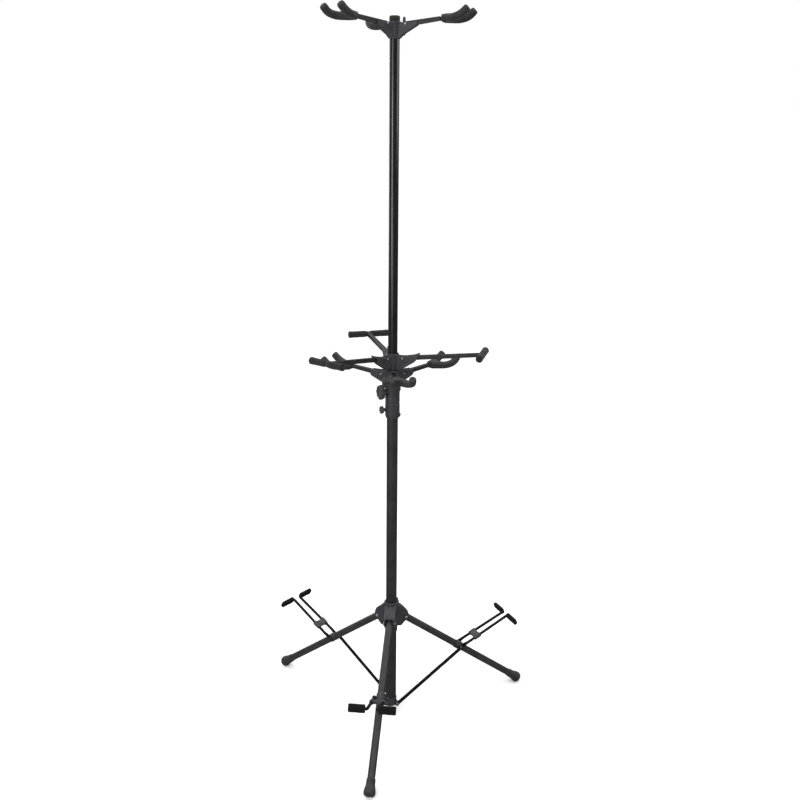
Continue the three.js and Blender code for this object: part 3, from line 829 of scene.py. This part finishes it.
# ---- cradles -----------------------------------------------------------------------------
def elbow_path(start, corner, end, bend, steps=8):
    """Points from start to end by a corner that is bent round a radius."""
    a, b, c = Vector(start), Vector(corner), Vector(end)
    into, out = (a - b).normalized(), (c - b).normalized()
    turn = [b + into * bend * (1 - t) ** 2 + out * bend * t * t
            for t in (k / steps for k in range(steps + 1))]
    return [a, *[a.lerp(turn[0], k / 10) for k in range(1, 10)], *turn, turn[-1].lerp(c, 0.5), c]


def rod_y(x):
    """How far a cradle's rod is from the middle, x out from the crossing."""
    (x0, y0), (x1, y1) = ROD_ROOT, ROD_TIP
    return y0 + (y1 - y0) * (x - x0) / (x1 - x0)


def cradle_rod(hand):
    """A bent rod whose inner end is beaten flat and drilled for the crossing bolt."""
    flat, round_from = 14.3, 27
    tab = [(x, flat, 0) for x in (-6.2, -5.6, -4.4, -2.2, 0, 4, 9, 14)]
    tab_sizes = [(1.35, 0.9, 3), (1.5, 2.8, 3), (1.5, 4.6, 3), (1.5, 5.8, 4), (1.5, 6.2, 4), (1.5, 6.2, 4),
                 (1.5, 6.1, 4), (1.7, 5.8, 4)]
    neck = [(18, flat + 0.5, 0), (22, rod_y(22) - 0.3, 0)]
    neck_sizes = [(2.4, 5.2, 3), (3.4, 4.4, 2.4)]
    corner = (*ROD_TIP, 0)
    path = elbow_path((round_from, rod_y(round_from), 0), corner, (ROD_TIP[0], PAD_END - 3.6, 0), 6)
    made = swept(tab + neck + path, tab_sizes + neck_sizes + [(ROD_R, ROD_R, 2)] * len(path), 24)
    made = combined(made, "DIFFERENCE", along_y(turned([(0, 5), (3.1, 5), (3.1, 25), (0, 25)], 24), 0, 0))
    return handed(made, hand)


def cradle_pad(hand):
    """A foam sleeve with soft shoulders, closed at its end, on the rod's hook."""
    half_x, half_z = 6.1, 10.6
    bore_end = PAD_END - 3
    sections = [(bore_end, ROD_R, ROD_R, 2), (PAD_START + 1, ROD_R + 0.1, ROD_R + 0.1, 2),
                (PAD_START + 0.3, ROD_R + 0.5, ROD_R + 0.7, 2)]
    for t, swell in ((0.0, 0.72), (0.25, 0.86), (0.8, 0.95), (1.8, 1.0)):
        sections.append((PAD_START + t, half_x * swell, half_z * swell, 2.8))
    y = PAD_START + 3.5
    while y < PAD_END - 3:
        sections.append((y, half_x, half_z, 2.8))
        y += 2.2
    for t, swell in ((1.8, 0.99), (0.9, 0.95), (0.3, 0.88), (0.0, 0.74), (0.1, 0.4), (0.15, 0.08)):
        sections.append((PAD_END - t, half_x * swell, half_z * swell, 2.8 if swell > 0.5 else 2))
    made = shifted(uneven(lofted(sections, 56), 0.45, 9, hand), x=ROD_TIP[0])
    return handed(made, hand)


def cradle_spacer():
    """A moulded bridge that holds the two rods apart, with a screw through its web."""
    x0, x1 = SPACER
    middle, spread = (x0 + x1) / 2, rod_y((x0 + x1) / 2)
    parts = []
    for y in (-spread, spread):
        barrel = turned(fillet([(0, x0), (6.4, x0), (6.8, x0 + 3), (6.8, x1 - 3), (6.4, x1), (0, x1)],
                               1.2, closed=False), 40)
        parts.append(shifted(along_x(barrel), y=y))
    boss = turned([(0, -5.6), (5.4, -5.6), (5.4, 5.6), (0, 5.6)], 36)
    parts += [box(x0 + 1.5, x1 - 1.5, -spread, spread, -4.6, 4.6), shifted(boss, x=middle)]
    bores = [rod((30, hand * rod_y(30), 0), (90, hand * rod_y(90), 0), ROD_R + 0.1, 32) for hand in (-1, 1)]
    screw = shifted(cross_head(2.9, 1.3), x=middle, z=5.6)
    return cast(parts, bores, 0.6, 2), screw


def add_cradle(side):
    turn = spot(f"leg_{side}_hinge")[0]
    _, cross_x, cross_z = crossing(side)
    place = radial(turn, cross_x, cross_z, CRADLE_TILT[side])
    body = f"cradle_{side}"
    block, screw = cradle_spacer()
    show(f"spacer_moulding_{side}", block, body, "casting", [f"cradle_spacer_{side}"], place)
    show(f"spacer_screw_{side}", screw, body, "black_zinc", place=place)
    for letter, hand in (("a", 1), ("b", -1)):
        ends = f"{side}_{letter}"
        show(f"bent_rod_{ends}", cradle_rod(hand), body, "rod_paint", [f"cradle_rod_{ends}"], place)
        foam = show(f"foam_hook_{ends}", cradle_pad(hand), body, "hook_foam",
                    [f"cradle_pad_{ends}"], place)


# ---- hubs with folding arms --------------------------------------------------------------
def arm_axis(hub, pivot, x):
    (x0, z0), (x1, z1) = pivot, HUBS[hub]["end"]
    return z0 + (z1 - z0) / (x1 - x0) * (x - x0)


def arm_slope(hub, pivot):
    end = HUBS[hub]["end"]
    return math.degrees(math.atan2(end[1] - pivot[1], end[0] - pivot[0]))


def add_arm_hub(hub):
    """A barrel with three open-topped channels, whose cheeks run down to its foot."""
    spec = HUBS[hub]
    z0, top = rise(f"{hub}_hub")[0], spec["top"]
    barrel_r, foot_r = spec["barrel"], spec["foot"]
    turn, *pivot = spot(f"{spec['arm']}_a_fold")
    barrel = turned(fillet([
        (0, z0), (foot_r - 0.2, z0, 1), (foot_r, z0 + 4, 0.6), (barrel_r - 1.0, z0 + 16, 5),
        (barrel_r - 1.0, top - 6, 0.8), (barrel_r, top - 4.5, 0.6), (barrel_r, top, 1.2), (0, top),
    ], 0.5, closed=False), 72)
    cheek = fillet(spec["cheek"], 1)
    inner, outer = barrel_r + 0.6, 85
    floor_drop = 6.2
    channel = [(x, arm_axis(hub, pivot, x) - floor_drop) for x in (inner, outer)]
    channel += [(outer, top + 40), (inner, top + 40)]
    parts, cutters = [barrel], []
    for step in (0, 120, 240):
        boss = along_y(turned([(0, -9.6), (4.2, -9.6), (4.2, 9.6), (0, 9.6)], 32), *pivot)
        parts += [about_z(plate(cheek, -9, 9), step), about_z(boss, step)]
        cutters.append(about_z(plate(channel, -ARM_HALF - 0.4, ARM_HALF + 0.4), step))
        for y0, y1 in ((-12, -8.2), (8.2, 12)):
            cutters.append(about_z(plate(fillet(spec["pocket"], 2), y0, y1), step))
    slide = half_width("upper_tube") + (0.3 if hub == "top" else 0.4)
    cutters.append(turned([(0, z0 - 9), (slide, z0 - 9), (slide, top + 9), (0, top + 9)], 64))
    if hub == "yoke":
        spigot = SPIGOT_R + 0.4
        spigot_top = rise("clamp_sleeve")[1] + 0.4
        cutters.append(turned([(0, z0 - 9), (spigot, z0 - 9), (spigot, spigot_top), (0, spigot_top)], 64))
    if hub == "top":
        wing_turn, _, wing_z = spot("top_wing_screw_turn")
        boss = along_x(turned([(0, 14), (7.2, 14), (6, 19), (5.8, 22.8), (0, 22.8)], 36))
        parts.append(about_z(shifted(boss, z=wing_z), wing_turn - turn))
    made = cast(parts, cutters, 0.9, 2)
    show(f"{hub}_hub_casting", made, f"{hub}_hub", "casting", [f"{hub}_hub"], radial(turn))
    for letter in LETTERS:
        arm_turn, x, z = spot(f"{spec['arm']}_{letter}_fold")
        heads = pin_heads(x, z, -9.7, 9.7, 2.7, 1.1)
        show(f"{hub}_pivot_{letter}", heads, f"{hub}_hub", "zinc", place=radial(arm_turn))


def flat_arm(length, root, tip, half=ARM_HALF):
    """A flat-sided arm along x from its pivot, with a shallow channel down each side."""
    outline = [Vector((root * math.cos(a), root * math.sin(a)))
               for a in (math.pi / 2 + math.pi * k / 14 for k in range(15))]
    outline += fillet([(0, -root), (length, -tip), (length, tip), (0, root)], 1.5, closed=False)[1:-1]
    bar = eased(plate(outline, -half, half), 1.1, 3, 25)
    groove = link((14, 0), (length - 12, 0), min(root, tip) - 2.4, root - 2.6, tip - 2.4)
    for y in (-half, half):
        bar = combined(bar, "DIFFERENCE", eased(plate(groove, y - 0.6, y + 0.6), 0.3, 1, 25))
    return bar


def add_yoke_arm(hub, letter):
    spec = HUBS[hub]
    arm = f"{spec['arm']}_{letter}"
    yoke = {"yoke": "neck_yoke", "top": "top_yoke"}[hub] + f"_{letter}"
    turn, *pivot = spot(f"{arm}_fold")
    slope = arm_slope(hub, pivot)
    length = (PALM_START - 1 - pivot[0]) / math.cos(math.radians(slope))
    tongue = rod((length - 3, 0, 0), (length + 15, 0, 0), 3.1)
    bar = combined(flat_arm(length, 5.9, 4.7), "UNION", tongue)
    show(f"flat_{arm}", bar, arm, "bar_paint", [arm], radial(turn, *pivot, slope))
    show(f"rubber_{yoke}", neck_yoke(), arm, "rubber", [yoke], radial(turn, 0, spec["end"][1]))


def neck_yoke():
    """A rubber fork: a thick palm, and two blunt prongs that spread and then curl up."""
    curve = smooth_curve([(YOKE_ROOT + 2, 3, -1), (YOKE_ROOT + 18, 12.5, -1.5), (YOKE_ROOT + 36, 26, -0.5),
                          (YOKE_ROOT + 54, PRONG_GAP, 6), (YOKE_TIP, PRONG_GAP, 20)], 8)
    count = len(curve) - 1
    sizes = []
    for i in range(count + 1):
        blunt = min(1.0, (count - i) / 1.6)
        girth = PRONG_R * (0.80 + 0.20 * blunt ** 0.5) + 0.8 * (1 - i / count)
        sizes.append((girth, girth * 0.97, 2.3))
    prong = swept(curve, sizes, 24)
    neck = [(0, PALM_START), (5.8, PALM_START, 1), (7.8, PALM_START + 3, 2), (10.2, PALM_START + 9, 3),
            (10.8, YOKE_ROOT + 12, 3), (0, YOKE_ROOT + 16)]
    neck = along_x(turned(fillet(neck, 0.5, closed=False), 32))
    right = [(PALM_START + 1, -6), (PALM_START + 8, -10.5), (YOKE_ROOT + 14, -17), (YOKE_ROOT + 29, -25),
             (YOKE_ROOT + 26, -11)]
    left = [(x, -y) for x, y in reversed(right)]
    plan = fillet([*right, (YOKE_ROOT + 23, 0), *left], 3)
    palm = moved(plate(plan, -7.4, 8.4), Matrix.Rotation(math.pi / 2, 4, "X"))
    bore = along_x(turned([(0, PALM_START - 5), (3.4, PALM_START - 5), (3.4, PALM_START + 16),
                           (0, PALM_START + 16)], 24))
    return cast([prong, mirrored(prong), neck, palm], [bore], 1.0, 7)


def add_rest_arm(letter):
    arm = f"rest_arm_{letter}"
    turn, *pivot = spot(f"{arm}_fold")
    slope = arm_slope("rest", pivot)
    end_x, end_z = HUBS["rest"]["end"]
    length = (end_x - 1 - pivot[0]) / math.cos(math.radians(slope))
    cross = rod((length, 4 - BAR_HALF, 0), (length, BAR_HALF - 4, 0), 4)
    saddle = rod((length, -8, 0), (length, 8, 0), 6, edge=1.5)
    bar = combined(flat_arm(length, 5.9, 4.9), "UNION", cross, saddle)
    show(f"flat_{arm}", bar, arm, "bar_paint", [arm], radial(turn, *pivot, slope))
    foam = show(f"foam_bar_{letter}", rest_foam(), arm, "foam",
                [f"rest_pad_{letter}"], radial(turn, end_x, end_z))


def rest_foam():
    """A foam tube over the crossbar, pinched where the arm comes in, with closed soft ends."""
    full, waist = 8.9, 6.6
    sections = []
    y = -BAR_HALF
    while y <= BAR_HALF:
        pinch = math.exp(-((y / 5.5) ** 2))
        from_end = BAR_HALF - abs(y)
        rim = 1 - 0.22 * max(0.0, 1 - from_end / 2.4) ** 2
        flare = 0.5 * math.exp(-((from_end / 14) ** 2))
        radius = (full + flare - (full - waist) * pinch) * rim
        sections.append((y, radius, radius, 2))
        y += 0.6 if from_end < 3 else 1.6
    sections = [(-BAR_HALF - 0.1, 2, 2, 2), *sections, (BAR_HALF + 0.1, 2, 2, 2)]
    foam = uneven(lofted(sections, 48), 0.4, 11, 3)
    notch = box(-20, 0.6, -ARM_HALF - 0.15, ARM_HALF + 0.15, -5.6, 5.6)
    return combined(foam, "DIFFERENCE", notch)


def add_wing_screw():
    turn, _, z = spot("top_wing_screw_turn")
    start = 23.3
    stem = [(0, start), (4.1, start), (3.8, start + 9), (0, start + 9.3)]
    stem = along_x(turned(fillet(stem, 0.7, closed=False), 36))
    wing = fillet([(start + 1, 0), (start + 9.5, 0), (start + 11, 12), (start + 11, 20), (start + 8.5, 22.4),
                   (start + 5, 21), (start + 3.5, 12)], 2.5)
    parts = [stem, plate(wing, -1.5, 1.5), plate([(x, -up) for x, up in reversed(wing)], -1.5, 1.5)]
    show("wing_screw_casting", cast(parts, (), 0.45, 2), "top_wing_screw", "casting",
         ["top_wing_screw"], radial(turn, 0, z))


# ---- studio ------------------------------------------------------------------------------
CAMERA = {"offset": (0.3275, -2.5924, 1.596), "turn": 6.762, "pitch": 14.529, "roll": 0.443, "lens": 45.7}
SOFTBOXES = (
    # azimuth and distance from the mast, height, width, how tall, watts, and height it is aimed at
    ("key", -121, 2.6, 1.45, 0.9, 1.2, 20, 1.3),
    ("broad", -128, 3.4, 2.5, 2.2, 1.2, 16, 1.3),
    ("side", 4, 2.4, 2.15, 1.9, 0.9, 15, 1.5),
    ("low", -100, 3.2, 0.75, 1.4, 0.7, 7, 0.4),
    ("back", 140, 3.0, 1.5, 1.6, 1.6, 22, 1.0),
)


def add_camera():
    lens = bpy.data.cameras.new("camera")
    lens.lens = CAMERA["lens"]
    camera = bpy.data.objects.new("camera", lens)
    bpy.context.scene.collection.objects.link(camera)
    x, y, z = CAMERA["offset"]
    camera.matrix_world = (
        Matrix.Translation((MAST.x + x, MAST.y + y, z))
        @ Matrix.Rotation(math.radians(CAMERA["turn"]), 4, "Z")
        @ Matrix.Rotation(math.radians(90 - CAMERA["pitch"]), 4, "X")
        @ Matrix.Rotation(math.radians(CAMERA["roll"]), 4, "Z")
    )
    bpy.context.scene.camera = camera


def add_softbox(name, azimuth, distance, height, width, tall, watts, aim):
    light = bpy.data.lights.new(name, "AREA")
    light.shape = "RECTANGLE"
    light.size, light.size_y = width, tall
    light.energy = watts
    box_light = bpy.data.objects.new(name, light)
    bpy.context.scene.collection.objects.link(box_light)
    angle = math.radians(azimuth)
    place = Vector((MAST.x + distance * math.cos(angle), MAST.y + distance * math.sin(angle), height))
    facing = (place - Vector((MAST.x, MAST.y, aim))).to_track_quat("Z", "Y")
    box_light.matrix_world = Matrix.Translation(place) @ facing.to_matrix().to_4x4()
    box_light.visible_camera = False


def add_studio():
    scene = bpy.context.scene
    scene.view_settings.view_transform = "Standard"
    world = bpy.data.worlds.new("studio")
    scene.world = world
    world.use_nodes = True
    n = Nodes(world.node_tree)
    seen = n.add("ShaderNodeLightPath")["Is Camera Ray"]
    strength = n.add("ShaderNodeMapRange", {"Value": seen, "To Min": 0.12, "To Max": 1.0})["Result"]
    surface = n.add("ShaderNodeBackground", {"Color": (1, 1, 1, 1), "Strength": strength})["Background"]
    n.add("ShaderNodeOutputWorld", {"Surface": surface})

    sun = bpy.data.lights.new("ceiling", "SUN")
    sun.energy = 3.4
    sun.angle = math.radians(120)
    ceiling = bpy.data.objects.new("ceiling", sun)
    bpy.context.scene.collection.objects.link(ceiling)

    for softbox in SOFTBOXES:
        add_softbox(*softbox)

    paper = finish("studio_floor", grey(0.93), grey(0.96), (0.75, 0.9), patch=1.5, grain=300, relief=0.0002)
    floor = turned([(0, -0.02), (60, -0.02), (60, 0), (0, 0)], 96)
    floor.materials.append(paper)
    ground = bpy.data.objects.new("floor", floor)
    bpy.context.scene.collection.objects.link(ground)
    ground.visible_glossy = False


# ---- the rack ----------------------------------------------------------------------------
add_camera()
add_studio()
add_tubes()
add_slide_bush()
add_top_cap()
add_bottom_collar()
add_clamp_sleeve()
add_knobs()
add_leg_hub()
for leg_side in SIDES:
    add_leg(leg_side)
    add_saddle(leg_side)
    add_foot(leg_side)
    add_brace(leg_side)
    add_cradle(leg_side)
for hub_name in HUBS:
    add_arm_hub(hub_name)
for arm_letter in LETTERS:
    add_yoke_arm("yoke", arm_letter)
    add_rest_arm(arm_letter)
    add_yoke_arm("top", arm_letter)
add_wing_screw()
